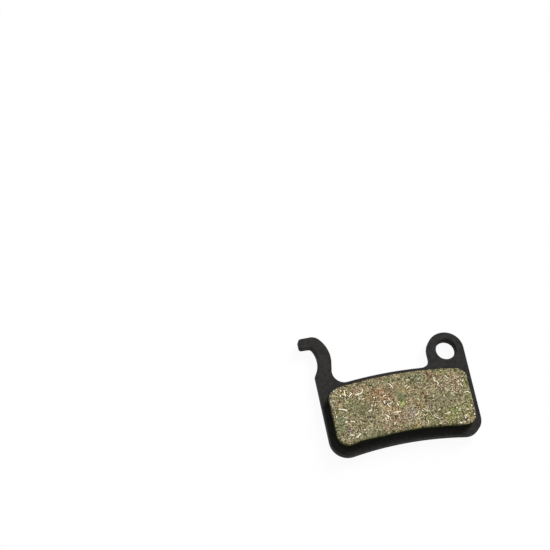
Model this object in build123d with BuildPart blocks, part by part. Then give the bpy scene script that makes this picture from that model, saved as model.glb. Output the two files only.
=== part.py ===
"""Bicycle disc brake pad: a stamped steel back plate and the friction lining moulded onto it.

Millimetres. The origin is the centre of the axle bore, on the back face. X runs along the pad towards
the ear, Y points away from the rotor's centre, and Z points from the back face to the friction face.
"""

from build123d import *
from math import acos, asin, cos, degrees, radians, sin, sqrt, tan
import os

# Back plate
plate_width = 36.0  # across the two straight sides
plate_height = 17.0  # between the upper and lower arcs, along a radius
plate_thickness = 2.0
lower_arc_radius = 84.0  # lower edge, about the rotor's centre
rotor_offset = 2.5  # rotor's centre from the middle of the plate, towards the ear
hook_side_corner = 4.2  # lower corner below the hook
ear_side_corner = 3.8  # lower corner below the ear
back_edge_radius = 0.2  # edge rolled over by the punch
front_edge_radius = 0.12  # edge broken on the die side

# Ear
axle_bore_diameter = 4.6
bore_edge_radius = 0.4  # eased on both faces
ear_radius = 4.3
ear_stretch = 0.13  # round drawn out towards the hook
axle_height = 3.5  # bore's centre above the crown of the upper edge
ear_fillet = 2.3

# Hook
throat_radius = 5.75  # hollow that faces away from the pad
throat_height = 5.55  # deepest point of the throat above the crown
throat_depth = 1.35  # deepest point of the throat inside the plate's side
neck_width = 3.1
hook_back_radius = 7.1  # outside of the hook
neck_lean = 10.5  # degrees, back of the neck from upright
hook_height = 11.2  # top of the hook above the crown
hook_top_corner = 2.6
tip_reach = 2.25  # tip beyond the plate's side
tip_thickness = 2.55
tip_fall = 0.2  # end of the tip below the top of the hook
tip_corner = 0.6
throat_corner = 0.85  # where the throat meets the underside of the tip
shoulder_corner = 1.4  # where the throat meets the plate's side
notch_fillet = 2.75  # between the neck and the upper edge

# Bonding holes
bond_hole_diameter = 3.5
bond_hole_spacing_x = 22.6  # between the outer pairs
bond_hole_spacing_y = 6.6  # within a pair, along a radius

# Friction lining
lining_thickness = 2.0
lining_hook_side_margin = 1.35
lining_ear_side_margin = 1.5
lining_upper_margin = 1.3
lining_lower_margin = 1.85
lining_hook_side_corner = 2.8
lining_ear_side_corner = 2.6
lining_edge_radius = 0.25
plug_recess = 0.45  # plug's end below the back face
plug_clearance = 0.02  # around a plug, from the compound's shrinkage

# Places worked out from the dimensions
upper_arc_radius = lower_arc_radius + plate_height
middle_arc_radius = lower_arc_radius + plate_height / 2
ear_side_x = ear_radius
hook_side_x = ear_side_x - plate_width
middle_x = (ear_side_x + hook_side_x) / 2
rotor_x = middle_x + rotor_offset
crown_y = -axle_height
rotor_y = crown_y - upper_arc_radius
lining_base_z = plate_thickness


def arc_y(x, radius):
    """Height at x of an arc about the rotor's centre."""
    return rotor_y + sqrt(radius**2 - (x - rotor_x) ** 2)


def arc_band(low_x, high_x, low_radius, high_radius):
    """Adds the band between two arcs about the rotor's centre, cut off by two straight sides."""
    width = high_x - low_x
    with Locations((rotor_x, rotor_y)):
        Circle(high_radius)
        Circle(low_radius, mode=Mode.SUBTRACT)
    with Locations(((low_x + high_x) / 2, rotor_y + high_radius)):
        Rectangle(width, 2 * (high_radius - low_radius) + width, mode=Mode.INTERSECT)


def bond_hole_places():
    """Centres of the bonding holes: one in the middle and a pair at each end, on arcs."""
    places = [(middle_x, arc_y(middle_x, middle_arc_radius))]
    for x in (middle_x - bond_hole_spacing_x / 2, middle_x + bond_hole_spacing_x / 2):
        for step in (-bond_hole_spacing_y / 2, bond_hole_spacing_y / 2):
            places.append((x, arc_y(x, middle_arc_radius + step)))
    return places


# Back plate
with BuildPart() as back_plate:
    with BuildSketch() as outline:
        arc_band(hook_side_x, ear_side_x, lower_arc_radius, upper_arc_radius)
        corner_below_hook = (hook_side_x, arc_y(hook_side_x, lower_arc_radius))
        corner_below_ear = (ear_side_x, arc_y(ear_side_x, lower_arc_radius))
        fillet(outline.vertices().sort_by_distance(corner_below_hook)[0], hook_side_corner)
        fillet(outline.vertices().sort_by_distance(corner_below_ear)[0], ear_side_corner)

        # Ear: a drawn-out round end on a stem that runs down into the body.
        ear_left_x = -ear_radius - ear_stretch
        stem_height = -arc_y(ear_left_x, middle_arc_radius)
        with Locations((0, 0), (-ear_stretch, 0)):
            Circle(ear_radius)
        with Locations((-ear_stretch / 2, 0)):
            Rectangle(ear_stretch, 2 * ear_radius)
        with Locations((-ear_stretch / 2, -stem_height / 2)):
            Rectangle(2 * ear_radius + ear_stretch, stem_height)

        # Hook: throat, tip, back and a straight neck that runs down into the body.
        throat_y = crown_y + throat_height
        throat_x = hook_side_x + throat_depth - throat_radius
        hook_back_x = hook_side_x + throat_depth + neck_width - hook_back_radius
        hook_top_y = crown_y + hook_height
        tip_x = hook_side_x - tip_reach
        tip_under_y = hook_top_y - tip_thickness
        tip_top_y = hook_top_y - tip_fall
        root_y = arc_y(hook_side_x, middle_arc_radius)
        throat_low_angle = degrees(acos((hook_side_x - throat_x) / throat_radius))
        throat_high_angle = degrees(asin((tip_under_y - throat_y) / throat_radius))
        back_high_angle = degrees(asin((hook_top_y - throat_y) / hook_back_radius))
        neck_top_y = throat_y - hook_back_radius * sin(radians(neck_lean))
        neck_top_x = hook_back_x + hook_back_radius * cos(radians(neck_lean))
        neck_root_x = neck_top_x - (neck_top_y - root_y) * tan(radians(neck_lean))
        with BuildLine():
            throat = CenterArc(
                (throat_x, throat_y), throat_radius, -throat_low_angle, throat_low_angle + throat_high_angle
            )
            back = CenterArc(
                (hook_back_x, throat_y), hook_back_radius, -neck_lean, neck_lean + back_high_angle
            )
            Polyline(throat @ 1, (tip_x, tip_under_y), (tip_x, tip_top_y), back @ 1)
            Polyline(throat @ 0, (hook_side_x, root_y), (neck_root_x, root_y), back @ 0)
        make_face()
        fillet(outline.vertices().sort_by_distance((tip_x, tip_under_y))[0], tip_corner)
        fillet(outline.vertices().sort_by_distance((tip_x, tip_top_y))[0], tip_corner)
        fillet(outline.vertices().sort_by_distance(throat @ 1)[0], throat_corner)
        fillet(outline.vertices().sort_by_distance(back @ 1)[0], hook_top_corner)
        fillet(outline.vertices().sort_by_distance(throat @ 0)[0], shoulder_corner)
        notch = (neck_root_x, arc_y(neck_root_x, upper_arc_radius))
        ear_foot = (ear_left_x, arc_y(ear_left_x, upper_arc_radius))
        fillet(outline.vertices().sort_by_distance(notch)[0], notch_fillet)
        fillet(outline.vertices().sort_by_distance(ear_foot)[0], ear_fillet)
    extrude(amount=plate_thickness)
    fillet(back_plate.faces().sort_by(Axis.Z)[0].outer_wire().edges(), back_edge_radius)
    fillet(back_plate.faces().sort_by(Axis.Z)[-1].outer_wire().edges(), front_edge_radius)
    with Locations((0, 0, plate_thickness)):
        Hole(axle_bore_diameter / 2)
    fillet(back_plate.edges(Select.LAST).filter_by(GeomType.CIRCLE), bore_edge_radius)
    with Locations([(x, y, plate_thickness) for x, y in bond_hole_places()]):
        Hole(bond_hole_diameter / 2)

# Friction lining
with BuildPart() as friction_lining:
    with BuildSketch(Plane.XY.offset(lining_base_z)) as lining_outline:
        arc_band(
            hook_side_x + lining_hook_side_margin,
            ear_side_x - lining_ear_side_margin,
            lower_arc_radius + lining_lower_margin,
            upper_arc_radius - lining_upper_margin,
        )
        fillet(lining_outline.vertices().sort_by(Axis.X)[:2], lining_hook_side_corner)
        fillet(lining_outline.vertices().sort_by(Axis.X)[-2:], lining_ear_side_corner)
    extrude(amount=lining_thickness)
    fillet(friction_lining.faces().sort_by(Axis.Z)[-1].edges(), lining_edge_radius)
    with BuildSketch(Plane.XY.offset(plug_recess)):
        with Locations(bond_hole_places()):
            Circle(bond_hole_diameter / 2 - plug_clearance)
    extrude(amount=lining_base_z - plug_recess)

os.makedirs("parts", exist_ok=True)
back_plate.part.label = "back_plate"
friction_lining.part.label = "friction_lining"
export_step(back_plate.part, "parts/back_plate.step")
export_step(friction_lining.part, "parts/friction_lining.step")
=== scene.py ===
"""Bicycle disc brake pad: a satin black back plate under a ground friction lining full of pale fibres.

Lengths are millimetres in the part's own frame and become metres where a mesh is made. The lining's mesh
stands for the plain solid: a ground face with pits and chipped edges, painted sides and five plugs. Pale
strands and flecks lie in the face, mostly sunk.
"""
import math
from collections import namedtuple

import bmesh
import bpy
import numpy as np
from mathutils import Matrix, Vector
from mathutils.kdtree import KDTree


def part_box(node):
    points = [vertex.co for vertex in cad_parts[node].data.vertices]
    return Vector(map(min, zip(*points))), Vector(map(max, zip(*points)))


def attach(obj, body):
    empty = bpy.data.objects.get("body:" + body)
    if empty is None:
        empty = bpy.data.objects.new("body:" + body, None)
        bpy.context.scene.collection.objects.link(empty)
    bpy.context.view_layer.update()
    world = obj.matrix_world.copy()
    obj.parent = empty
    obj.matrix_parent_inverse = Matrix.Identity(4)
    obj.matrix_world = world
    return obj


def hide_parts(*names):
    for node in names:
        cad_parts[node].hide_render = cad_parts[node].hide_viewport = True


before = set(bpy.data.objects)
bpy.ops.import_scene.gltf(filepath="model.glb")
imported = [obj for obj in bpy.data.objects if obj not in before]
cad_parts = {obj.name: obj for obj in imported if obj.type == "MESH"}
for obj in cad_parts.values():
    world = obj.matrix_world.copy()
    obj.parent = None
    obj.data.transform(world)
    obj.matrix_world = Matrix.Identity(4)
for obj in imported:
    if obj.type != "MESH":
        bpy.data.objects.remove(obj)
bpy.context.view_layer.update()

MM = 0.001

# Lining's outline, as its solid has it
arc_low_radius = 85.85  # lower edge, about the rotor's centre
arc_high_radius = 99.70  # upper edge
rotor_offset = 2.5  # rotor's centre from the middle of the plate, towards the ear
plate_half_width = 18.0  # middle of the plate from its side below the ear
hook_side_corner = 2.8
ear_side_corner = 2.6
edge_radius = 0.25
bond_hole_spacing_x = 22.6
bond_hole_spacing_y = 6.6
bond_hole_radius_mean = 92.5  # arc through the middle of the bonding holes
plug_radius = 1.73

# Fineness of the lining's mesh
face_step = 0.1
corner_steps = 14
edge_levels = 4
wall_levels = 14
plug_segments = 48
plug_rings = 10
plug_middle_radius = 0.12  # innermost ring

# Relief of the friction face, and the painted shade in its grooves and chips
swell_height = 0.015
swell_cell = 2.6
grain_height = 0.035
grain_cell = 0.42
grain_cap = 0.3  # share left by the grinding
groove_depth = 0.03  # beside each strand
groove_width = 0.15
# share of painted shadow that darkens the groove
groove_shade = 0.85
chip_depth = 0.10  # along the edge
chip_reach = 0.22
chip_cell = 0.9
chip_contrast = 2.2
chip_threshold = 0.3
# share of painted shade that darkens the chips
chip_shade = 0.5

# Pits in the face
pit_count = 150
pit_margin = 0.1  # from the edge
pit_radius = (0.10, 0.32)
pit_depth = (0.05, 0.15)
pit_rim = 1.25  # where a pit begins, against its radius
pit_ragged = 0.45
pit_ragged_cell = 0.25
chosen_pits = [  # pits that stand out, dark with painted shade: place and radius
    (-6.5, -5.9, 0.41), (-5.8, -6.9, 0.35), (-1.7, -7.3, 0.35), (0.3, -6.1, 0.43),
    (1.7, -7.1, 0.38), (-8.5, -10.4, 0.32), (-8.2, -11.6, 0.41), (-8.2, -12.5, 0.41),
    (0.0, -12.3, 0.35), (-12.7, -10.6, 0.38), (2.3, -9.8, 0.32), (-0.7, -12.1, 0.32),
    (-1.8, -15.1, 0.35), (-4.9, -14.6, 0.32), (-23.4, -15.2, 0.32), (-17.5, -11.7, 0.32),
]
pit_clear = 1.4  # reach of the bare ring about them, against their radius

# Relief and colour of the sides and the plugs, with painted shade in the chips and along the face's
# lower border
side_height = 0.035
side_cell = 0.7
side_foot = 0.3  # height over which the relief sets in
side_chip_drop = 0.7  # of the edge, against a chip's depth
# share of painted shade that darkens the chips of the sides
side_chip_shade = 0.6
side_blend = 0.4  # depth over which the face's colours give way to the sides'
side_tint = 0.9
side_rich = 0.6
rim_green = 0.3  # share of the sides' colour at the face's border
rim_reach = 0.5  # how far it reaches in from there
low_rim_shade = 0.45  # painted shade: a larger share of the sides' darker colour at the lower border, which faces away from the lamp
low_rim_shade_reach = 0.8
plug_round = 0.12
plug_relief = 0.16
plug_relief_cell = 0.7
plug_pit_cell = 0.4
plug_pit_contrast = 2.0
plug_rich = 0.3

# Paint on the lining's sides: how far below the face it begins, and how ragged its edge is
paint_start = 0.28
paint_shifts = [  # where it begins lower or, below 0, higher: place, reach and shift
    (-28.9, -19.5, 1.2, 0.45), (-24.6, -19.4, 3.0, -0.60), (-19.4, -18.8, 1.4, 0.45),
    (-6.1, -18.7, 1.4, 0.40), (-2.3, -19.0, 1.2, 0.45), (1.4, -18.8, 2.4, -0.25),
]
paint_fade = 0.5
paint_ragged = 0.10
paint_ragged_cell = 0.7

# Colours of the compound, linear, with a painted highlight and the colour of painted shade among them
olive = (0.212, 0.191, 0.089)
tan = (0.348, 0.292, 0.164)
rust = (0.360, 0.175, 0.096)
amber = (0.385, 0.225, 0.080)
ochre = (0.310, 0.225, 0.050)
rose = (0.360, 0.175, 0.140)
lilac = (0.310, 0.220, 0.225)
slate = (0.165, 0.152, 0.108)
salmon = (0.400, 0.235, 0.150)
dusk = (0.160, 0.158, 0.080)
# painted highlight along the face's left edge
edge_highlight_pale = (0.460, 0.430, 0.330)
umber = (0.145, 0.125, 0.070)
sage = (0.240, 0.240, 0.142)
teal = (0.110, 0.185, 0.100)
green = (0.105, 0.178, 0.072)
leaf = (0.232, 0.285, 0.072)
moss = (0.330, 0.350, 0.095)
side_green = (0.112, 0.128, 0.052)
curl_straw = (0.620, 0.540, 0.320)
grain_dark = (0.055, 0.042, 0.015)
# colour of the painted shade in pits, chips and grooves
pit_dark = (0.045, 0.034, 0.012)
skin_dark = (0.005, 0.007, 0.002)
skin_pale = (0.019, 0.023, 0.010)
plug_dark = (0.007, 0.010, 0.010)
plug_pale = (0.034, 0.047, 0.045)

# Colours of the fibres, linear, each with its tone
fibre_tones = [
    (0.00, (0.98, 0.92, 0.71)),
    (0.10, (0.97, 0.89, 0.67)),
    (0.30, (0.90, 0.78, 0.50)),
    (0.48, (0.56, 0.47, 0.27)),
    (0.66, (0.52, 0.34, 0.24)),
    (0.84, (0.29, 0.31, 0.15)),
    (1.00, (0.34, 0.31, 0.28)),
]
fibre_streak = (0.33, 0.26, 0.13)

# Colours of the plate's paint, linear
front_dark = (0.0192, 0.0185, 0.0176)
front_pale = (0.0366, 0.0351, 0.0334)
back_dark = (0.044, 0.062, 0.062)
back_pale = (0.056, 0.076, 0.076)
speck_grey = (0.060, 0.060, 0.058)

# Tinted parts of the face: centre, half width, half height, turn in degrees, colour, strength. The two
# pale ones at the left edge are painted highlights.
tinted_parts = [
    (-18.2, -9.6, 2.4, 2.0, 20, rust, 0.80),
    (-20.6, -9.4, 1.4, 1.6, 0, amber, 0.45),
    (-15.9, -11.1, 1.2, 0.9, 0, salmon, 0.60),
    (-23.2, -7.5, 2.1, 1.0, 12, salmon, 0.85),
    (-16.4, -13.2, 2.6, 1.2, -14, amber, 0.75),
    (-17.4, -15.1, 1.6, 0.9, 0, rust, 0.60),
    (-15.6, -16.2, 2.2, 1.0, 10, rose, 0.55),
    (-14.4, -14.6, 1.2, 0.8, 10, rose, 0.60),
    (-12.1, -14.8, 1.0, 1.2, 0, lilac, 0.85),
    (-9.9, -13.1, 1.0, 1.3, 0, amber, 0.60),
    (-11.4, -12.2, 1.0, 0.8, 0, salmon, 0.45),
    (-12.0, -8.8, 1.2, 0.8, 20, ochre, 0.60),
    (-27.0, -7.8, 1.3, 0.9, 20, ochre, 0.85),
    (-28.6, -11.6, 0.9, 0.7, 0, ochre, 0.50),
    (-28.3, -9.9, 0.9, 0.7, 0, rose, 0.45),
    # painted highlight along the left edge
    (-30.3, -9.8, 0.4, 2.0, -4, edge_highlight_pale, 0.65),
    (-25.4, -10.4, 1.4, 0.9, 20, leaf, 0.50),
    (-23.4, -12.5, 2.1, 1.6, 0, dusk, 0.75),
    (-22.4, -15.2, 2.0, 1.2, 10, dusk, 0.55),
    (-28.4, -13.7, 1.1, 0.9, 0, teal, 0.80),
    (-29.0, -15.6, 1.3, 1.9, 10, green, 0.65),
    (-27.0, -16.9, 1.1, 1.0, 30, lilac, 0.65),
    # painted highlight on the edge at the lower left corner
    (-29.2, -18.6, 0.6, 0.5, -40, edge_highlight_pale, 0.60),
    (-21.4, -17.8, 3.2, 0.7, 6, sage, 0.60),
    (-22.6, -18.9, 3.4, 0.8, 6, sage, 0.85),
    (-18.4, -17.4, 1.0, 0.8, 0, rose, 0.35),
    (-15.9, -7.3, 1.2, 0.9, 0, sage, 0.60),
    (-12.5, -6.0, 3.4, 0.6, 6, sage, 0.50),
    (-13.7, -10.7, 0.6, 1.5, 12, green, 0.90),
    (-13.9, -12.4, 1.0, 0.9, 0, moss, 0.90),
    (-12.5, -10.6, 0.6, 0.7, 0, lilac, 0.40),
    (-9.2, -6.6, 1.7, 1.1, 0, teal, 0.75),
    (-5.8, -6.0, 0.9, 0.8, 0, rust, 0.85),
    (-4.8, -7.8, 0.9, 1.0, 0, salmon, 0.60),
    (-2.9, -6.2, 0.9, 0.8, 0, leaf, 0.40),
    (-0.4, -9.0, 2.0, 2.2, 0, salmon, 0.60),
    (-8.3, -11.2, 0.9, 1.0, 0, rust, 0.40),
    (-7.4, -13.5, 0.8, 1.0, 0, lilac, 0.45),
    (-4.0, -12.5, 2.6, 1.5, -10, sage, 0.75),
    (2.2, -11.0, 0.9, 3.6, -6, leaf, 0.85),
    (-1.6, -15.9, 3.4, 1.2, 0, leaf, 0.75),
    (-3.0, -17.4, 1.8, 1.1, 0, moss, 0.85),
    (1.2, -17.3, 1.2, 1.4, 0, ochre, 0.60),
    (-7.9, -16.7, 1.7, 1.1, 10, leaf, 0.80),
    (-11.6, -18.0, 1.4, 0.6, 6, ochre, 0.60),
]
tint_strength = 0.84  # of the tinted parts and the flakes
patch_reach = 1.5  # where a patch begins, against its half sizes
patch_fade = 1.2
patch_limit = 2.0  # where it ends at the latest, against the larger one
patch_ragged = 0.45
patch_ragged_cell = 0.8
flake_count = 460
flake_radius = (0.15, 0.75)
flake_slimness = (0.4, 1.0)  # width against length
flake_strength = (0.10, 0.45)
flake_colours = (green, rust, rose, umber, umber, tan, slate)

# Strands that stand out: start, heading in degrees, length, turn over each half in degrees, width
long_strands = [
    (-28.8, -11.3, -17, 2.3, 0, 2, 0.40),
    (-26.4, -6.9, -97, 1.9, 8, 0, 0.40),
    (-27.1, -7.8, -40, 0.7, 0, 0, 0.26),
    (-22.1, -7.2, -90, 3.2, -75, -20, 0.34),
    (-24.7, -8.0, -144, 1.2, 0, 10, 0.36),
    (-27.5, -8.0, -107, 0.6, 0, 0, 0.34),
    (-27.5, -7.0, -24, 0.5, 0, 0, 0.36),
    (-23.7, -9.7, 9, 0.6, 0, 0, 0.32),
    (-23.0, -10.0, 26, 0.8, 0, 0, 0.28),
    (-20.1, -9.7, -37, 0.45, 0, 0, 0.40),
    (-17.9, -9.9, 14, 0.9, 10, 0, 0.34),
    (-17.7, -10.8, -99, 0.9, 0, 8, 0.38),
    (-20.8, -11.4, -96, 0.6, 0, 0, 0.36),
    (-15.9, -6.9, -46, 1.8, -18, -6, 0.36),
    (-15.0, -11.8, -67, 0.9, 0, 0, 0.36),
    (-17.1, -11.6, -100, 1.5, 40, 70, 0.28),
    (-16.8, -11.9, 21, 1.1, 12, 0, 0.26),
    (-22.0, -13.1, 42, 1.2, -20, -30, 0.36),
    (-16.3, -14.0, -6, 1.9, 8, 4, 0.38),
    (-18.4, -14.1, -46, 1.3, 6, 6, 0.36),
    (-17.7, -14.3, -97, 1.2, 0, 10, 0.34),
    (-18.3, -14.8, -94, 0.9, 0, 0, 0.28),
    (-27.9, -14.8, 22, 0.8, 0, 0, 0.38),
    (-26.7, -14.7, 8, 1.3, -24, -32, 0.34),
    (-28.1, -13.1, -64, 1.6, 46, 8, 0.17),
    (-29.4, -12.8, -112, 0.7, 0, 0, 0.28),
    (-23.9, -16.9, -57, 0.5, 0, 0, 0.44),
    (-27.4, -17.7, -30, 1.2, 16, 20, 0.38),
    (-26.3, -18.8, 24, 1.9, 12, 14, 0.34),
    (-26.0, -18.2, -54, 0.7, 0, 0, 0.26),
    (-16.8, -17.0, 47, 0.8, 0, 0, 0.28),
    (-4.7, -7.0, -165, 2.9, 150, -165, 0.28),
    (-2.2, -6.9, -90, 1.4, 45, 10, 0.24),
    (-12.4, -8.4, 32, 1.0, 0, 0, 0.24),
    (-12.1, -8.9, 33, 1.2, 0, 0, 0.24),
    (-11.7, -6.7, -12, 1.0, 0, 0, 0.26),
    (0.95, -11.9, 45, 1.9, -55, -75, 0.28),
    (-3.0, -9.7, -98, 1.5, 35, 12, 0.19),
    (-2.0, -11.1, -56, 1.3, 0, -10, 0.19),
    (0.9, -9.3, -100, 1.0, 30, 40, 0.24),
    (0.3, -8.7, -30, 0.5, 0, 0, 0.40),
    (1.2, -9.0, 20, 0.6, 0, 0, 0.40),
    (-9.3, -13.9, -56, 2.0, 24, 22, 0.19),
    (-10.0, -11.4, -64, 0.9, 6, 0, 0.22),
    (-11.5, -15.6, 36, 1.2, -8, -6, 0.46),
    (-7.3, -15.9, -58, 1.9, 14, 14, 0.19),
    (-8.9, -16.9, -65, 1.3, -26, -26, 0.24),
    (-6.0, -15.1, 23, 0.8, 0, 0, 0.26),
    (-4.2, -16.3, 50, 1.3, -50, -80, 0.26),
    (0.3, -16.9, -98, 1.2, -10, -8, 0.34),
    (0.7, -15.8, -15, 0.7, 0, 0, 0.28),
    (-1.6, -15.2, 30, 0.45, 0, 0, 0.36),
    (-3.9, -11.8, 0, 0.4, 0, 0, 0.34),
    (2.3, -17.0, -90, 0.5, 0, 0, 0.30),
    (2.2, -14.9, -100, 0.5, 0, 0, 0.28),
    (-1.6, -18.9, 11, 0.7, 0, 0, 0.26),
    (-0.6, -18.8, 4, 0.5, 0, 0, 0.28),
    (0.3, -18.5, 24, 0.6, 0, 0, 0.26),
]
long_tone = (0.0, 0.12)

# Short strands strewn over the face
short_count = 400
short_length = (0.3, 0.85)
short_width = (0.09, 0.13)
short_turn = 90.0  # greatest turn over each half, in degrees
short_tone = 1.1  # above 1, more of them are pale
strewn_margin = 0.08  # strands and middles of flecks from the edge

# Form of the strands
strand_step = 0.09
strand_sides = 8
strand_flatness = 0.5  # height of a strand's section against its width
strand_proud = 0.035  # top of a strand above the face
strand_taper = 0.16  # share of the length, at each end
strand_tip = 0.12  # least share of the taper
strand_uneven = 0.22  # of the width
strand_uneven_steps = 3.0

# Flecks strewn over the face: flat angular chips
fleck_count = 2300
fleck_length = (0.12, 0.34)
fleck_slimness = (0.40, 1.0)
fleck_tone = 1.8
fleck_corners = 7
fleck_ragged = (0.55, 1.1)  # corners' distance from the middle
fleck_margin = 0.06  # corners from the edge
fleck_proud = 0.012
fleck_depth = 0.08

# Parts of the face with more or fewer fibres: centre, reach, added density
fibre_density = 0.45
dense_places = [
    (-18.3, -12.9, 4.0, 0.24), (-12.3, -15.0, 3.2, 0.20), (-26.6, -8.2, 2.2, 0.25),
    (-0.6, -17.2, 2.6, 0.25), (-10.4, -11.8, 1.6, -0.12), (-0.5, -9.3, 2.2, 0.48),
    (-15.3, -16.6, 1.6, 0.25), (-26.9, -17.7, 1.5, 0.25), (-13.4, -13.1, 1.0, 0.20),
    (-17.9, -17.7, 1.2, -0.20), (-23.1, -12.0, 2.0, -0.60), (-14.4, -9.0, 2.0, -0.50),
    (-13.6, -10.9, 1.1, -0.35), (-3.8, -13.0, 2.8, -0.35), (-10.5, -6.6, 2.4, -0.25),
    (-27.5, -13.4, 1.6, -0.40), (-5.3, -7.8, 1.2, -0.30),
]
bare_places = [  # smooth, without strewn fibres, along the lower edge: place and reach
    (-25.2, -19.5, 1.1), (-23.7, -19.2, 1.4), (-22.2, -19.1, 1.3), (-20.8, -19.0, 1.0),
    (-19.6, -18.9, 0.8), (-28.4, -19.3, 0.6), (-27.2, -19.7, 0.6), (-11.9, -18.7, 0.6),
    (-10.5, -18.7, 0.6), (-7.6, -18.8, 0.6), (-6.3, -18.9, 0.5),
]
bare_limit = 0.45  # from here on, no strewn fibre is kept

# Textures: cells of noise to the millimetre, detail, and the levels that a span of the noise takes
Texture = namedtuple("Texture", "per_mm detail span levels", defaults=[(0.0, 1.0)])
usual_span = (0.3, 0.7)  # most of any noise lies in it

# Texture of the compound
ground_clouds = Texture(0.9, 4.0, (0.35, 0.65))
rich_span = (0.0, 0.5)
rich_contrast = (0.5, 1.0)
coarse_grains = 2.6  # to the millimetre
coarse_levels = (0.42, 1.58)
fine_grains = 4.3
fine_levels = (0.18, 1.62)
curl_cells = 1.7
curl_twist = 0.6
curl_span = (0.03, 0.008)
curl_breaks = Texture(2.3, 1.0, (0.5, 0.58))
curl_strength = 0.7
dark_grains = Texture(4.0, 2.0, (0.42, 0.35), (0.0, 0.8))
# share of the painted shade in pits, chips and grooves
pit_strength = 0.9
skin_cells = 2.0
plug_mottle = Texture(2.4, 3.0, (0.36, 0.64))
plug_blend = 0.1  # height between the sides' colour and the plugs'
speckle_cells = 5.0
speckle_strength = 0.6
cover_span = (0.55, 1.0)
bump_cells = 7.0
bump_grain = 0.4
bump_depth = 0.035
bump_strength = 0.7
compound_roughness = Texture(3.0, 3.0, usual_span, (0.7, 0.95))
compound_gloss = 0.08

# Texture of the fibres
streak_cells = 5.0
streak_span = (0.48, 0.68)
streak_strength = 0.32
fibre_bump_cells = 12.0
fibre_bump_depth = 0.01
fibre_roughness = (0.5, 0.8)
fibre_gloss = 0.15

# Texture of the plate's paint
back_span = (0.30, 0.10)  # heights of the front's colour and the back's
paint_clouds = Texture(1.3, 5.0, usual_span)
paint_specks = Texture(6.0, 2.0, (0.68, 0.76), (0.0, 0.5))
peel_cells = 2.2
fine_peel_cells = 9.0
fine_peel_share = 0.3
peel_depth = 0.02
peel_strength = 0.6
paint_roughness = Texture(1.1, 4.0, usual_span, (0.5, 0.66))
paint_gloss = 0.04

# Camera
view_azimuth = -28.388
view_elevation = 64.722
view_roll = 18.496
view_distance = 500.0
view_aim = (-35.521, 25.027, 0.0)
view_nearest = 10.0
lens_length = 139.68
sensor_size = 36.0

# Light and floor
white = (1.0, 1.0, 1.0)
sky_level = 0.34
lamp_level = 0.68
lamp_spread = 28.0  # degrees across
key_from = (0.72, 0.78, 0.68)
under_from = (0.25, 0.40, -1.0)
floor_size = 4000.0
floor_gap = 0.02  # below the plate's back
floor_glow = 0.94  # share of the floor's white that the shadow leaves
floor_bounce = (0.6, 0.6, 0.6)  # thrown back onto the object
floor_clear_reach = 0.75  # light from this close to the floor passes through it

# Places taken from the parts in model.glb
lining_low, lining_high = (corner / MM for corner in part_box("friction_lining"))
plate_low, plate_high = (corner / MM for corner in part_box("back_plate"))
middle_x = plate_high.x - plate_half_width
rotor_x = middle_x + rotor_offset
rotor_y = lining_high.y - arc_high_radius
face_z = lining_high.z
base_z = plate_high.z
plug_end_z = lining_low.z

Patch = namedtuple("Patch", "x y half_width half_height turn colour strength")
Strand = namedtuple("Strand", "x y angle share width tone")


def smooth(value):
    """Eases a value from 0 to 1."""
    value = np.clip(value, 0.0, 1.0)
    return value * value * (3.0 - 2.0 * value)


def lattice_noise(x, y, seed):
    """Smooth noise from -1 to 1 on a wrapped lattice of unit cells."""
    size = 64
    lattice = np.random.default_rng(seed).uniform(-1.0, 1.0, (size, size))
    column = np.floor(x).astype(int)
    row = np.floor(y).astype(int)
    across = smooth(x - column)
    along = smooth(y - row)

    def corner(right, up):
        return lattice[(column + right) % size, (row + up) % size]

    low = corner(0, 0) + (corner(1, 0) - corner(0, 0)) * across
    high = corner(0, 1) + (corner(1, 1) - corner(0, 1)) * across
    return low + (high - low) * along


def fractal_noise(x, y, cell, seed, octaves=3):
    """Sum of ever finer noise, from about -1 to 1, with cells of the given size and less."""
    usual_reach = 1.4
    total = np.zeros_like(x)
    weight = 1.0
    for octave in range(octaves):
        total = total + weight * lattice_noise(x / cell, y / cell, seed + octave)
        weight /= 2.0
        cell /= 2.0
    return total / usual_reach


def nearness(x, y, place_x, place_y, reach):
    """How near each point is to a place, from 1 there down to 0."""
    return np.exp(-(((x - place_x) ** 2 + (y - place_y) ** 2) / reach**2))


def shifted(x, y, level, shifts):
    """A level at each point, raised or lowered about chosen places."""
    total = np.full_like(x, level)
    for place_x, place_y, reach, shift in shifts:
        total += shift * nearness(x, y, place_x, place_y, reach)
    return total


# Lining's outline


def arc_y(x, radius):
    """Height at x of an arc about the rotor's centre."""
    return rotor_y + np.sqrt(radius**2 - (x - rotor_x) ** 2)


def edge_y(x, inset, upper):
    """Height at x of the lining's upper or lower edge, set in by the given amount."""
    turn = 1.0 if upper else -1.0
    radius = arc_high_radius - inset if upper else arc_low_radius + inset
    y = arc_y(x, radius)
    for side, corner in ((-1.0, hook_side_corner), (1.0, ear_side_corner)):
        round_radius = corner - inset
        side_x = (lining_low.x + inset) if side < 0 else (lining_high.x - inset)
        centre_x = side_x - side * round_radius
        centre_radius = radius - turn * round_radius
        centre_y = arc_y(centre_x, centre_radius)
        meets_x = rotor_x + (centre_x - rotor_x) * radius / centre_radius
        reach = np.sqrt(np.maximum(round_radius**2 - (x - centre_x) ** 2, 0.0))
        in_corner = side * (x - meets_x) > 0.0
        y = np.where(in_corner, centre_y + turn * reach, y)
    return y


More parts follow.
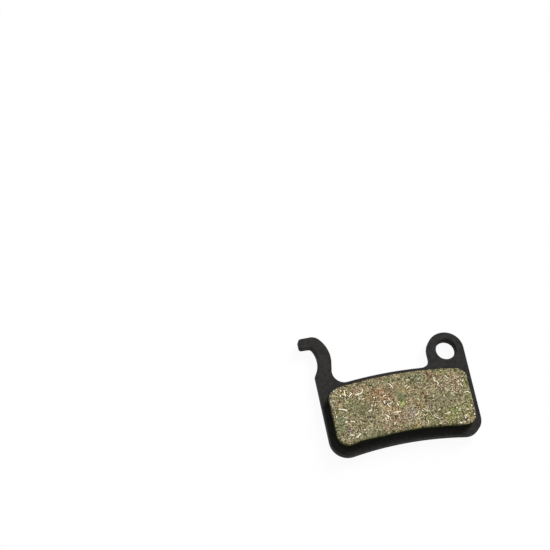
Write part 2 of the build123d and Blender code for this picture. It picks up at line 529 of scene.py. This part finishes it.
def column_places(inset):
    """Places along X of the face's columns, closer together in the corners."""
    low_x = lining_low.x + inset
    high_x = lining_high.x - inset
    hook_corner = hook_side_corner - inset
    ear_corner = ear_side_corner - inset
    angles = np.linspace(0.0, math.pi / 2, corner_steps, endpoint=False)
    hook_columns = low_x + hook_corner * (1.0 - np.cos(angles))
    ear_columns = high_x - ear_corner * (1.0 - np.cos(angles[::-1]))
    start = low_x + hook_corner
    end = high_x - ear_corner
    middle_columns = np.linspace(start, end, round((end - start) / face_step) + 1)
    return np.concatenate([hook_columns, middle_columns, ear_columns])


def edge_distance(x, y):
    """About how far a point lies inside the lining's outline."""
    sides = np.minimum(x - lining_low.x, lining_high.x - x)
    ends = np.minimum(y - edge_y(x, 0.0, False), edge_y(x, 0.0, True) - y)
    return np.minimum(sides, ends)


def bond_hole_places():
    """Centres of the five plugs, one in the middle and a pair at each end."""
    places = [(middle_x, arc_y(middle_x, bond_hole_radius_mean))]
    for x in (middle_x - bond_hole_spacing_x / 2, middle_x + bond_hole_spacing_x / 2):
        for step in (-bond_hole_spacing_y / 2, bond_hole_spacing_y / 2):
            places.append((x, arc_y(x, bond_hole_radius_mean + step)))
    return places


# Places strewn over the face


def scattered_places(count, margin, seed):
    """Seeded places strewn evenly over the face, at least a margin from its edge."""
    draw = np.random.default_rng(seed)
    x = draw.uniform(lining_low.x, lining_high.x, 3 * count)
    y = draw.uniform(lining_low.y, lining_high.y, 3 * count)
    inside = edge_distance(x, y) > margin
    return np.stack([x[inside], y[inside]], axis=1)[:count], draw


def fibre_share(x, y):
    """Chance that a fibre that falls at a point stays there."""
    return shifted(x, y, fibre_density, dense_places)


def bareness(x, y):
    """How bare the face is at each point, up to 1 at the bare places and the chosen pits."""
    share = np.zeros_like(x)
    about_pits = [(*place, pit_clear * radius) for *place, radius in chosen_pits]
    for place_x, place_y, reach in bare_places + about_pits:
        share = np.maximum(share, nearness(x, y, place_x, place_y, reach))
    return share


def strewn_places(count, seed):
    """Seeded places over the face, more of them where it is rich in fibres."""
    places, draw = scattered_places(2 * count, strewn_margin, seed)
    kept = places[draw.uniform(0.0, 1.0, len(places)) < fibre_share(places[:, 0], places[:, 1])]
    return kept[:count], draw


# Relief and colour of the face


def ground_relief(x, y):
    """Height of the ground face against its nominal plane, without pits and chips."""
    swell = swell_height * (fractal_noise(x, y, swell_cell, seed=21) - 1.0)
    grain = grain_height * fractal_noise(x, y, grain_cell, seed=22)
    return swell + np.minimum(grain, grain_cap * grain_height)


def edge_chips(x, y):
    """How deeply the edge is chipped near a point, from 0 to 1."""
    return smooth(chip_contrast * fractal_noise(x, y, chip_cell, seed=31) - chip_threshold)


def edge_fall(x, y):
    """How far the rounded and chipped edge lies below the face's plane."""
    inside = edge_distance(x, y)
    past = np.clip(edge_radius - inside, 0.0, edge_radius)
    chipped = edge_chips(x, y) * np.exp(-(((inside - edge_radius) / chip_reach) ** 2))
    return edge_radius - np.sqrt(edge_radius**2 - past**2) + chip_depth * chipped


def pit_shape(x, y):
    """Depth of the pits at each point, and how far into one it is, from 0 to 1."""
    places, draw = scattered_places(pit_count, pit_margin, seed=11)
    depth = np.zeros_like(x)
    inside = np.zeros_like(x)
    ragged = 1.0 + pit_ragged * fractal_noise(x, y, pit_ragged_cell, seed=12)
    strewn = [(*place, draw.uniform(*pit_radius)) for place in places]
    for place_x, place_y, radius in strewn + chosen_pits:
        deepest = draw.uniform(*pit_depth)
        share = smooth(pit_rim - np.hypot(x - place_x, y - place_y) * ragged / radius)
        depth = np.maximum(depth, deepest * share)
        inside = np.maximum(inside, share)
    return depth, inside


def groove_share(x, y, strands):
    """How far into the groove beside a strand each point lies, from 0 to 1."""
    strand_x = np.concatenate([strand.x for strand in strands])
    strand_y = np.concatenate([strand.y for strand in strands])
    half_width = np.concatenate([np.full(len(strand.x), strand.width / 2) for strand in strands])
    tree = KDTree(len(strand_x))
    for number, place in enumerate(zip(strand_x, strand_y)):
        tree.insert((*place, 0.0), number)
    tree.balance()
    share = np.zeros_like(x)
    for number, place in enumerate(zip(x, y)):
        found, nearest, distance = tree.find((*place, 0.0))
        share[number] = 1.0 - (distance - half_width[nearest]) / groove_width
    return smooth(share)


def random_flakes():
    """Small tinted flakes strewn over the face."""
    places, draw = scattered_places(flake_count, 0.0, seed=41)
    flakes = []
    for x, y in places:
        half_width = draw.uniform(*flake_radius)
        half_height = half_width * draw.uniform(*flake_slimness)
        turn = draw.uniform(0.0, 180.0)
        colour = flake_colours[draw.integers(len(flake_colours))]
        flakes.append(Patch(x, y, half_width, half_height, turn, colour, draw.uniform(*flake_strength)))
    return flakes


def patch_share(x, y, patch, seed):
    """How much of a patch's colour each point takes."""
    cosine = math.cos(math.radians(patch.turn))
    sine = math.sin(math.radians(patch.turn))
    along = ((x - patch.x) * cosine + (y - patch.y) * sine) / patch.half_width
    across = ((y - patch.y) * cosine - (x - patch.x) * sine) / patch.half_height
    ragged = patch_ragged * fractal_noise(x, y, patch_ragged_cell, seed)
    inside = (patch_reach - np.hypot(along, across) + ragged) / patch_fade
    return tint_strength * patch.strength * smooth(inside)


def face_stain(x, y):
    """Colour and share of the tints at each point, as four numbers, painted highlights at the left edge
    among them.
    """
    least_share = 0.001
    stain = np.zeros((len(x), 4))
    patches = [Patch(*part) for part in tinted_parts] + random_flakes()
    for number, patch in enumerate(patches):
        reach = patch_limit * max(patch.half_width, patch.half_height)
        near = np.hypot(x - patch.x, y - patch.y) < reach
        share = patch_share(x[near], y[near], patch, seed=51 + number % 7)[:, None]
        stain[near] += share * (np.array([*patch.colour, 1.0]) - stain[near])
    stain[:, :3] /= np.maximum(stain[:, 3:], least_share)
    return stain


def rim_share(x, y, inside):
    """Share of the sides' colour at each point of the face, most at its border, with more along the
    lower border as painted shade.
    """
    low_inside = y - edge_y(x, edge_radius, False)
    low_rim_shade_share = low_rim_shade * smooth(1.0 - low_inside / low_rim_shade_reach)
    return np.maximum(rim_green * smooth(1.0 - inside / rim_reach), low_rim_shade_share)


def side_tinted(stain, share):
    """A stain that takes a share of the sides' colour."""
    return stain + (np.array((*side_green, side_tint)) - stain) * share[:, None]


def paint_cover(x, y, z):
    """How much paint covers a point of the lining's side, from 0 at the ground edge to 1."""
    ragged = paint_ragged * fractal_noise(x + z, y - z, paint_ragged_cell, seed=61)
    start = shifted(x, y, paint_start, paint_shifts)
    return smooth((face_z - z - start + ragged) / paint_fade)


# Lining's mesh


def add_object(name, data):
    """Adds an object to the scene."""
    made = bpy.data.objects.new(name, data)
    bpy.context.scene.collection.objects.link(made)
    return made


class MeshParts:
    """Vertices, faces and per-vertex values of a mesh under construction."""

    def __init__(self):
        self.points = []
        self.faces = []
        self.values = {}
        self.count = 0

    def add_points(self, points, **values):
        """Adds vertices with their named values, and gives the number of the first."""
        first = self.count
        self.points.append(np.asarray(points, float))
        for name, value in values.items():
            self.values.setdefault(name, []).append(np.asarray(value, float))
        self.count += len(points)
        return first

    def add_band(self, low, high, closed=True):
        """Adds quads between two rows of vertex numbers of the same length."""
        steps = range(len(low) if closed else len(low) - 1)
        for step in steps:
            after = (step + 1) % len(low)
            self.faces.append((low[step], low[after], high[after], high[step]))

    def make(self, name):
        """Makes the mesh object, in metres, with its values as attributes."""
        mesh = bpy.data.meshes.new(name)
        mesh.from_pydata((np.concatenate(self.points) * MM).tolist(), [], self.faces)
        for value_name, blocks in self.values.items():
            block = np.concatenate(blocks)
            kind = "FLOAT" if block.ndim == 1 else "FLOAT_COLOR"
            field = "value" if block.ndim == 1 else "color"
            attribute = mesh.attributes.new(value_name, kind, "POINT")
            attribute.data.foreach_set(field, block.ravel())
        mesh.shade_smooth()
        return add_object(name, mesh)


def add_face(parts, strands):
    """Adds the ground face and gives its border's vertex numbers and places, counterclockwise."""
    columns = column_places(edge_radius)
    low = edge_y(columns, edge_radius, False)
    high = edge_y(columns, edge_radius, True)
    rows = round((high - low).max() / face_step)
    share = np.linspace(0.0, 1.0, rows + 1)
    x = np.repeat(columns, rows + 1)
    y = (low[:, None] + (high - low)[:, None] * share).ravel()
    inside = edge_distance(x, y) - edge_radius
    chipped = edge_chips(x, y) * np.exp(-((inside / chip_reach) ** 2))
    depth, pitted = pit_shape(x, y)
    grooved = groove_share(x, y, strands)
    z = face_z + ground_relief(x, y) - depth - chip_depth * chipped - groove_depth * grooved
    first = parts.add_points(
        np.stack([x, y, z], axis=1),
        stain=side_tinted(face_stain(x, y), rim_share(x, y, inside)),
        # painted shade in pits, chips and the grooves beside strands
        pit=np.maximum(pitted, np.maximum(chip_shade * chipped, groove_shade * grooved)),
        paint=np.zeros_like(x),
        rich=np.clip(fibre_share(x, y), 0.0, 1.0) * (1.0 - bareness(x, y)),
    )
    number = first + np.arange(len(x)).reshape(len(columns), rows + 1)
    for column in range(len(columns) - 1):
        parts.add_band(number[column + 1], number[column], closed=False)
    lower = number[:, 0]
    ear_side = number[-1, 1:]
    upper = number[-2::-1, -1]
    hook_side = number[0, -2:0:-1]
    border = np.concatenate([lower, ear_side, upper, hook_side])
    return border, x[border - first], y[border - first]


def outward(x, y):
    """Unit normals of a closed counterclockwise loop."""
    along_x = np.roll(x, -1) - np.roll(x, 1)
    along_y = np.roll(y, -1) - np.roll(y, 1)
    length = np.hypot(along_x, along_y)
    return along_y / length, -along_x / length


def side_levels():
    """Reach and height of the rows below the face's border."""
    levels = []
    for step in range(1, edge_levels + 1):
        angle = step / edge_levels * math.pi / 2
        levels.append((edge_radius * math.sin(angle), face_z - edge_radius * (1 - math.cos(angle))))
    wall_top_z = face_z - edge_radius
    for step in range(1, wall_levels + 1):
        levels.append((edge_radius, wall_top_z + (base_z - wall_top_z) * step / wall_levels))
    return levels


def add_sides(parts, border, x, y):
    """Adds the rounded edge and the sides, and gives the lowest row's vertex numbers."""
    normal_x, normal_y = outward(x, y)
    round_the_side = np.arctan2(normal_y, normal_x)
    chipped = edge_chips(x, y)
    face_rich = np.clip(fibre_share(x, y), 0.0, 1.0)
    above = border
    for reach, z in side_levels():
        lowered = max(0.0, 1.0 - (face_z - z) / (2.0 * chip_reach))
        chip = chipped * lowered
        along_x = x + normal_x * z
        along_y = y + normal_y * z + round_the_side
        rough = side_height * (fractal_noise(along_x, along_y, side_cell, seed=71) - 1.0)
        out = reach + min(1.0, (z - base_z) / side_foot) * rough - chip_depth * chip
        level_x = x + normal_x * out
        level_y = y + normal_y * out
        level_z = z - side_chip_drop * chip_depth * chip * lowered
        unrolled = reach + face_z - z
        face_tint = face_stain(x + normal_x * unrolled, y + normal_y * unrolled)
        as_side = rim_green + (1.0 - rim_green) * smooth((face_z - z) / side_blend)
        first = parts.add_points(
            np.stack([level_x, level_y, level_z], axis=1),
            stain=side_tinted(face_tint, np.full_like(x, as_side)),
            # painted shade in the chips of the edge
            pit=side_chip_shade * chip,
            paint=paint_cover(level_x, level_y, level_z),
            rich=face_rich + (side_rich - face_rich) * as_side,
        )
        row = first + np.arange(len(x))
        parts.add_band(row, above)
        above = row
    return above


def plug_profile():
    """Radius and height of a plug's rings, from the lining's base to the middle of its end."""
    rings = [(plug_radius, base_z), (plug_radius, (base_z + plug_end_z) / 2)]
    for angle in np.radians((0.0, 30.0, 60.0)):
        inward = plug_round * (1.0 - math.cos(angle))
        rings.append((plug_radius - inward, plug_end_z + plug_round * (1.0 - math.sin(angle))))
    for radius in np.linspace(plug_radius - plug_round, plug_middle_radius, plug_rings):
        rings.append((radius, plug_end_z))
    return rings


def add_plug(parts, place, seed):
    """Adds one plug, open at the top, and gives its top row's vertex numbers."""
    angles = np.linspace(0.0, 2 * math.pi, plug_segments, endpoint=False)
    rows = []
    for radius, z in plug_profile():
        x = place[0] + radius * np.cos(angles)
        y = place[1] + radius * np.sin(angles)
        at_end = float(z == plug_end_z)
        rough = plug_relief * at_end * (0.5 + 0.5 * fractal_noise(x, y, plug_relief_cell, seed))
        pits = smooth(plug_pit_contrast * fractal_noise(x, y, plug_pit_cell, seed + 3))
        first = parts.add_points(
            np.stack([x, y, z + rough], axis=1),
            stain=np.zeros((plug_segments, 4)),
            # painted shade in the pits of the plug's end
            pit=at_end * pits,
            paint=np.full(plug_segments, 1.0),
            rich=np.full(plug_segments, plug_rich),
        )
        rows.append(first + np.arange(plug_segments))
    for above, below in zip(rows, rows[1:]):
        parts.add_band(below, above)
    parts.faces.append(tuple(rows[-1][::-1]))
    return rows[0]


def close_underside(made, loops):
    """Fills the lining's base between its lower border and the plugs."""
    work = bmesh.new()
    work.from_mesh(made.data)
    work.verts.ensure_lookup_table()
    edges = []
    for loop in loops:
        for step, number in enumerate(loop):
            pair = (work.verts[number], work.verts[loop[(step + 1) % len(loop)]])
            edges.append(work.edges.get(pair))
    bmesh.ops.triangle_fill(work, use_beauty=True, edges=edges, normal=(0.0, 0.0, -1.0))
    bmesh.ops.recalc_face_normals(work, faces=work.faces)
    work.to_mesh(made.data)
    work.free()


def make_lining(strands):
    """Makes the lining: ground face, sides, base and plugs in one closed mesh."""
    parts = MeshParts()
    border, x, y = add_face(parts, strands)
    loops = [add_sides(parts, border, x, y)]
    for number, place in enumerate(bond_hole_places()):
        loops.append(add_plug(parts, place, seed=81 + 5 * number))
    made = parts.make("lining_compound")
    close_underside(made, [[int(number) for number in loop] for loop in loops])
    return made


# Strands and flecks


def bent_strand(start_x, start_y, heading, length, turns, width, tone):
    """A strand that turns evenly over each half of its length."""
    steps = max(3, round(length / strand_step))
    share = np.linspace(0.0, 1.0, steps + 1)
    turned = turns[0] * np.minimum(share, 0.5) * 2 + turns[1] * np.maximum(share - 0.5, 0.0) * 2
    angle = np.radians(heading + turned)
    step_x = np.cos(angle[:-1]) * length / steps
    step_y = np.sin(angle[:-1]) * length / steps
    x = start_x + np.concatenate([[0.0], np.cumsum(step_x)])
    y = start_y + np.concatenate([[0.0], np.cumsum(step_y)])
    return Strand(x, y, angle, share, width, tone)


def chosen_strands():
    """The long pale strands that stand out."""
    draw = np.random.default_rng(91)
    strands = []
    for x, y, heading, length, first_turn, second_turn, width in long_strands:
        tone = draw.uniform(*long_tone)
        strands.append(bent_strand(x, y, heading, length, (first_turn, second_turn), width, tone))
    return strands


def strewn_strands(seed):
    """Short strands strewn over the face."""
    places, draw = strewn_places(short_count, seed)
    strands = []
    for x, y in places:
        length = draw.uniform(*short_length)
        heading = draw.uniform(0.0, 360.0)
        turns = draw.uniform(-short_turn, short_turn, 2)
        width = draw.uniform(*short_width)
        tone = draw.uniform(0.0, 1.0) ** short_tone
        strand = bent_strand(x, y, heading, length, turns, width, tone)
        bare = bareness(strand.x, strand.y).max() > bare_limit
        if edge_distance(strand.x, strand.y).min() > strewn_margin and not bare:
            strands.append(strand)
    return strands


def add_strand(parts, strand, seed):
    """Adds one closed strand, flattened and mostly sunk in the face."""
    from_end = np.minimum(strand.share, 1.0 - strand.share)
    taper = np.sqrt(np.clip(from_end / strand_taper, strand_tip, 1.0))
    along = strand.share * len(strand.share) / strand_uneven_steps
    uneven = 1.0 + strand_uneven * lattice_noise(along, np.full_like(along, 0.5), seed)
    half_width = (strand.width / 2 * taper * uneven)[:, None]
    half_height = strand_flatness * half_width
    top_z = face_z + ground_relief(strand.x, strand.y) - edge_fall(strand.x, strand.y) + strand_proud
    middle_z = top_z[:, None] - half_height.max()
    around = np.linspace(0.0, 2 * math.pi, strand_sides, endpoint=False)
    sideways = half_width * np.cos(around)
    x = strand.x[:, None] - np.sin(strand.angle)[:, None] * sideways
    y = strand.y[:, None] + np.cos(strand.angle)[:, None] * sideways
    z = middle_z + half_height * np.sin(around)
    points = np.stack([x, y, z], axis=2).reshape(-1, 3)
    first = parts.add_points(points, tone=np.full(len(points), strand.tone))
    rows = first + np.arange(len(points)).reshape(-1, strand_sides)
    parts.faces.append(tuple(rows[0][::-1]))
    for low, high in zip(rows, rows[1:]):
        parts.add_band(low, high)
    parts.faces.append(tuple(rows[-1]))


def make_strands(name, strands, seed):
    """Makes one piece of many strands."""
    parts = MeshParts()
    for number, strand in enumerate(strands):
        add_strand(parts, strand, seed + number)
    return parts.make(name)


def fleck_outlines(places, draw):
    """Corners of an uneven chip about each place, as rows of x and of y."""
    count = len(places)
    angles = np.linspace(0.0, 2 * math.pi, fleck_corners, endpoint=False)
    reach = draw.uniform(*fleck_ragged, (count, fleck_corners))
    length = draw.uniform(*fleck_length, (count, 1))
    width = length * draw.uniform(*fleck_slimness, (count, 1))
    turn = draw.uniform(0.0, 2 * math.pi, (count, 1))
    along = reach * length / 2 * np.cos(angles)
    across = reach * width / 2 * np.sin(angles)
    x = places[:, :1] + along * np.cos(turn) - across * np.sin(turn)
    y = places[:, 1:] + along * np.sin(turn) + across * np.cos(turn)
    return x, y


def make_flecks(name, seed):
    """Makes one piece of many flat chips, each with corners and a tone of its own."""
    places, draw = strewn_places(fleck_count, seed)
    x, y = fleck_outlines(places, draw)
    tones = draw.uniform(0.0, 1.0, len(places)) ** fleck_tone
    inside = edge_distance(x, y).min(axis=1) > fleck_margin
    covered = bareness(places[:, 0], places[:, 1]) < bare_limit
    top = face_z + ground_relief(x, y) - edge_fall(x, y) + fleck_proud
    parts = MeshParts()
    for number in np.flatnonzero(inside & covered):
        rows = []
        for z in (top[number] - fleck_depth, top[number]):
            points = np.stack([x[number], y[number], z], axis=1)
            first = parts.add_points(points, tone=np.full(fleck_corners, tones[number]))
            rows.append(first + np.arange(fleck_corners))
        parts.faces.append(tuple(rows[0][::-1]))
        parts.add_band(*rows)
        parts.faces.append(tuple(rows[1]))
    return parts.make(name)


# Nodes of the materials


def add_node(tree, kind, inputs=(), **settings):
    """Adds a node, sets its properties, and sets or links its inputs."""
    node = tree.nodes.new(kind)
    for name, value in settings.items():
        setattr(node, name, value)
    for name, value in dict(inputs).items():
        if isinstance(value, bpy.types.NodeSocket):
            tree.links.new(value, node.inputs[name])
        else:
            node.inputs[name].default_value = value
    return node


def opaque(colour):
    """A colour as a node takes it, with a fourth number unless it is a socket."""
    return colour if isinstance(colour, bpy.types.NodeSocket) else (*colour, 1.0)


def mix_colours(tree, share, first, second, blend="MIX"):
    """Mixes two colours by a share."""
    factor, colour_a, colour_b, result = 0, 6, 7, 2  # the node's sockets for colours
    inputs = {factor: share, colour_a: opaque(first), colour_b: opaque(second)}
    node = add_node(tree, "ShaderNodeMix", inputs, data_type="RGBA", blend_type=blend)
    return node.outputs[result]


def ranged(tree, value, span, levels=(0.0, 1.0)):
    """Maps a value from a span to levels, held at its ends."""
    names = ("Value", "From Min", "From Max", "To Min", "To Max")
    inputs = dict(zip(names, (value, *span, *levels)))
    return add_node(tree, "ShaderNodeMapRange", inputs).outputs[0]


def combine(tree, operation, first, second=0.0):
    """Does sums on one or two values."""
    return add_node(tree, "ShaderNodeMath", {0: first, 1: second}, operation=operation).outputs[0]


def millimetre_places(tree):
    """Places on the object, in millimetres."""
    places = add_node(tree, "ShaderNodeTexCoord").outputs["Object"]
    scaled = add_node(tree, "ShaderNodeVectorMath", {0: places, "Scale": 1.0 / MM}, operation="SCALE")
    return scaled.outputs[0]


def height_at(tree, places):
    """Height of each place."""
    return add_node(tree, "ShaderNodeSeparateXYZ", {0: places}).outputs[2]


def noise(tree, places, per_mm, detail=3.0, distortion=0.0):
    """Noise with the given number of cells to the millimetre."""
    inputs = {"Vector": places, "Scale": per_mm, "Detail": detail, "Distortion": distortion}
    return add_node(tree, "ShaderNodeTexNoise", inputs).outputs[0]


def textured(tree, places, texture):
    """Levels of a texture."""
    tone = noise(tree, places, texture.per_mm, texture.detail)
    return ranged(tree, tone, texture.span, texture.levels)


def cell_tone(tree, places, per_mm):
    """Grains, so many to the millimetre, each with a tone of its own from 0 to 1."""
    grain = add_node(tree, "ShaderNodeTexVoronoi", {"Vector": places, "Scale": per_mm})
    return add_node(tree, "ShaderNodeSeparateColor", {0: grain.outputs["Color"]}).outputs[0]


def attribute(tree, name, output="Fac"):
    """A value kept in the mesh."""
    return add_node(tree, "ShaderNodeAttribute", attribute_name=name).outputs[output]


def bump(tree, height, depth_mm, strength=1.0):
    """Bumps the surface by a height from 0 to 1 of the given depth."""
    inputs = {"Height": height, "Distance": depth_mm * MM, "Strength": strength}
    return add_node(tree, "ShaderNodeBump", inputs).outputs[0]


def new_material(name):
    """A material with its shader, and the node tree they are in."""
    material = bpy.data.materials.new(name)
    material.use_nodes = True
    tree = material.node_tree
    return material, tree, tree.nodes["Principled BSDF"]


def finish_shader(tree, shader, colour, roughness, normal, gloss):
    """Links colour, roughness and normal to the shader, and sets its gloss."""
    for name, socket in (("Base Color", colour), ("Roughness", roughness), ("Normal", normal)):
        tree.links.new(socket, shader.inputs[name])
    shader.inputs["Specular IOR Level"].default_value = gloss


# Materials


def compound_ground(tree, places, coarse_tone):
    """Colour of the bare compound: olive to tan, tints, grains, curls, dark grains, and painted shade in
    pits, chips and grooves.
    """
    ground = mix_colours(tree, textured(tree, places, ground_clouds), olive, tan)
    stain = attribute(tree, "stain", "Color")
    ground = mix_colours(tree, attribute(tree, "stain", "Alpha"), ground, stain)

    contrast = ranged(tree, attribute(tree, "rich"), rich_span, rich_contrast)
    fine_tone = cell_tone(tree, places, fine_grains)
    for tone, levels in ((coarse_tone, coarse_levels), (fine_tone, fine_levels)):
        shade = ranged(tree, tone, (0.0, 1.0), levels)
        ground = mix_colours(tree, contrast, ground, shade, "MULTIPLY")

    winding = combine(tree, "SUBTRACT", noise(tree, places, curl_cells, 2.0, curl_twist), 0.5)
    curl = ranged(tree, combine(tree, "ABSOLUTE", winding), curl_span, (0.0, curl_strength))
    curl = combine(tree, "MULTIPLY", curl, textured(tree, places, curl_breaks))
    ground = mix_colours(tree, curl, ground, curl_straw)

    ground = mix_colours(tree, textured(tree, places, dark_grains), ground, grain_dark)
    # painted shade in pits, chips and the grooves beside strands
    pit = combine(tree, "MULTIPLY", attribute(tree, "pit"), pit_strength)
    return mix_colours(tree, pit, ground, pit_dark)


def compound_skin(tree, places):
    """Colour of the paint on the lining's sides, and of the plugs below it."""
    skin = mix_colours(tree, noise(tree, places, skin_cells), skin_dark, skin_pale)
    plug_skin = mix_colours(tree, textured(tree, places, plug_mottle), plug_dark, plug_pale)
    at_plug = ranged(tree, height_at(tree, places), (base_z, base_z - plug_blend))
    return mix_colours(tree, at_plug, skin, plug_skin)


def compound_material():
    """Mottled friction compound, with paint on its sides that ends in a speckled border."""
    material, tree, shader = new_material("friction_compound_ground")
    places = millimetre_places(tree)
    coarse_tone = cell_tone(tree, places, coarse_grains)
    speckle = combine(tree, "MULTIPLY", noise(tree, places, speckle_cells), speckle_strength)
    cover = combine(tree, "ADD", attribute(tree, "paint"), speckle)
    paint = ranged(tree, cover, cover_span)
    ground = compound_ground(tree, places, coarse_tone)
    colour = mix_colours(tree, paint, ground, compound_skin(tree, places))
    fine_height = noise(tree, places, bump_cells, detail=4.0)
    coarse_height = combine(tree, "MULTIPLY", coarse_tone, bump_grain)
    height = combine(tree, "ADD", fine_height, coarse_height)
    normal = bump(tree, height, bump_depth, bump_strength)
    roughness = textured(tree, places, compound_roughness)
    finish_shader(tree, shader, colour, roughness, normal, compound_gloss)
    return material


def fibre_material():
    """Pale strands and flecks: cream to straw and pinkish tan, each with its own tone."""
    material, tree, shader = new_material("friction_compound_fibre")
    places = millimetre_places(tree)
    tones = add_node(tree, "ShaderNodeValToRGB", {0: attribute(tree, "tone")})
    ramp = tones.color_ramp
    ramp.elements[0].color = opaque(fibre_tones[0][1])
    ramp.elements[1].color = opaque(fibre_tones[-1][1])
    for place, colour in fibre_tones[1:-1]:
        ramp.elements.new(place).color = opaque(colour)
    streaks = noise(tree, places, streak_cells)
    streaked = ranged(tree, streaks, streak_span, (0.0, streak_strength))
    colour = mix_colours(tree, streaked, tones.outputs[0], fibre_streak)
    normal = bump(tree, noise(tree, places, fibre_bump_cells, detail=2.0), fibre_bump_depth)
    roughness = ranged(tree, streaks, usual_span, fibre_roughness)
    finish_shader(tree, shader, colour, roughness, normal, fibre_gloss)
    return material


def paint_material():
    """Satin black paint with a fine orange peel, greyer on the back face."""
    material, tree, shader = new_material("plate_paint_satin")
    places = millimetre_places(tree)
    cloud = textured(tree, places, paint_clouds)
    front = mix_colours(tree, cloud, front_dark, front_pale)
    back = mix_colours(tree, cloud, back_dark, back_pale)
    colour = mix_colours(tree, ranged(tree, height_at(tree, places), back_span), front, back)
    colour = mix_colours(tree, textured(tree, places, paint_specks), colour, speck_grey)
    fine_peel = combine(tree, "MULTIPLY", noise(tree, places, fine_peel_cells), fine_peel_share)
    peel = combine(tree, "ADD", noise(tree, places, peel_cells, detail=2.0), fine_peel)
    normal = bump(tree, peel, peel_depth, peel_strength)
    roughness = textured(tree, places, paint_roughness)
    finish_shader(tree, shader, colour, roughness, normal, paint_gloss)
    return material


# Stage


def seen_directly(tree):
    """1 where a ray comes from the camera, a gloss or a clear surface, else 0."""
    path = add_node(tree, "ShaderNodeLightPath")
    gloss = combine(tree, "MAXIMUM", path.outputs["Is Camera Ray"], path.outputs["Is Glossy Ray"])
    return combine(tree, "MAXIMUM", gloss, path.outputs["Is Transmission Ray"])


def mix_shaders(tree, share, first, second):
    """Mixes two shaders by a share."""
    inputs = {0: share, 1: first.outputs[0], 2: second.outputs[0]}
    return add_node(tree, "ShaderNodeMixShader", inputs)


def floor_material():
    """White floor with a soft shadow, clear from below and to light that leaves the plate's back."""
    material, tree, shader = new_material("floor_white")
    tree.nodes.remove(shader)
    matt = add_node(tree, "ShaderNodeBsdfDiffuse", {"Color": opaque(white)})
    dim = add_node(tree, "ShaderNodeBsdfDiffuse", {"Color": opaque(floor_bounce)})
    glow = add_node(tree, "ShaderNodeEmission", {"Strength": 1.0})
    clear = add_node(tree, "ShaderNodeBsdfTransparent")
    seen = mix_shaders(tree, floor_glow, matt, glow)
    above = mix_shaders(tree, seen_directly(tree), dim, seen)
    below = add_node(tree, "ShaderNodeNewGeometry").outputs["Backfacing"]
    path_length = add_node(tree, "ShaderNodeLightPath").outputs["Ray Length"]
    close = combine(tree, "LESS_THAN", path_length, floor_clear_reach * MM)
    surface = mix_shaders(tree, combine(tree, "MAXIMUM", below, close), above, clear)
    tree.links.new(surface.outputs[0], tree.nodes["Material Output"].inputs["Surface"])
    return material


def add_floor():
    """Adds the floor just below the plate's back."""
    half = floor_size * MM / 2
    z = (plate_low.z - floor_gap) * MM
    corners = [(-half, -half, z), (half, -half, z), (half, half, z), (-half, half, z)]
    mesh = bpy.data.meshes.new("floor")
    mesh.from_pydata(corners, [], [(0, 1, 2, 3)])
    mesh.materials.append(floor_material())
    add_object("floor", mesh)


def add_sky():
    """Even white light from all round, seen as white."""
    world = bpy.data.worlds.new("studio")
    world.use_nodes = True
    tree = world.node_tree
    level = ranged(tree, seen_directly(tree), (0.0, 1.0), (sky_level, 1.0))
    sky = tree.nodes["Background"]
    sky.inputs["Color"].default_value = opaque(white)
    tree.links.new(level, sky.inputs["Strength"])
    bpy.context.scene.world = world


def add_lamp(name, towards, level):
    """Adds a soft distant lamp that lights a flat face up or down to a level."""
    direction = Vector(towards).normalized()
    lamp = bpy.data.lights.new(name, "SUN")
    lamp.energy = level * math.pi / abs(direction.z)
    lamp.angle = math.radians(lamp_spread)
    add_object(name, lamp).rotation_euler = direction.to_track_quat("Z", "Y").to_euler()


def add_camera():
    """Adds the camera at the photograph's place."""
    azimuth = math.radians(view_azimuth)
    elevation = math.radians(view_elevation)
    flat = math.cos(elevation)
    back = Vector((math.sin(azimuth) * flat, -math.cos(azimuth) * flat, math.sin(elevation)))
    right = Vector((0.0, 0.0, 1.0)).cross(back).normalized()
    up = back.cross(right)
    level = Matrix((right, up, back)).transposed()
    turned = level @ Matrix.Rotation(math.radians(view_roll), 3, "Z")
    place = (Vector(view_aim) + back * view_distance) * MM
    lens = bpy.data.cameras.new("camera")
    lens.lens = lens_length
    lens.sensor_width = sensor_size
    lens.clip_start = view_nearest * MM
    camera = add_object("camera", lens)
    camera.matrix_world = Matrix.Translation(place) @ turned.to_4x4()
    bpy.context.scene.camera = camera


def dress(piece, material):
    """Gives a piece of the lining its material and its body, and hides the node that it stands for."""
    piece.data.materials.append(material)
    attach(piece, "root")
    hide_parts("friction_lining")


plate_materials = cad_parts["back_plate"].data.materials
plate_materials.clear()
plate_materials.append(paint_material())
strands = chosen_strands() + strewn_strands(seed=301)
dress(make_lining(strands), compound_material())
fibre = fibre_material()
dress(make_strands("lining_strands", strands, seed=1001), fibre)
dress(make_flecks("lining_flecks", seed=401), fibre)
add_floor()
add_sky()
add_lamp("key", key_from, lamp_level)
add_lamp("under", under_from, lamp_level)
add_camera()
bpy.context.scene.view_settings.view_transform = "Standard"
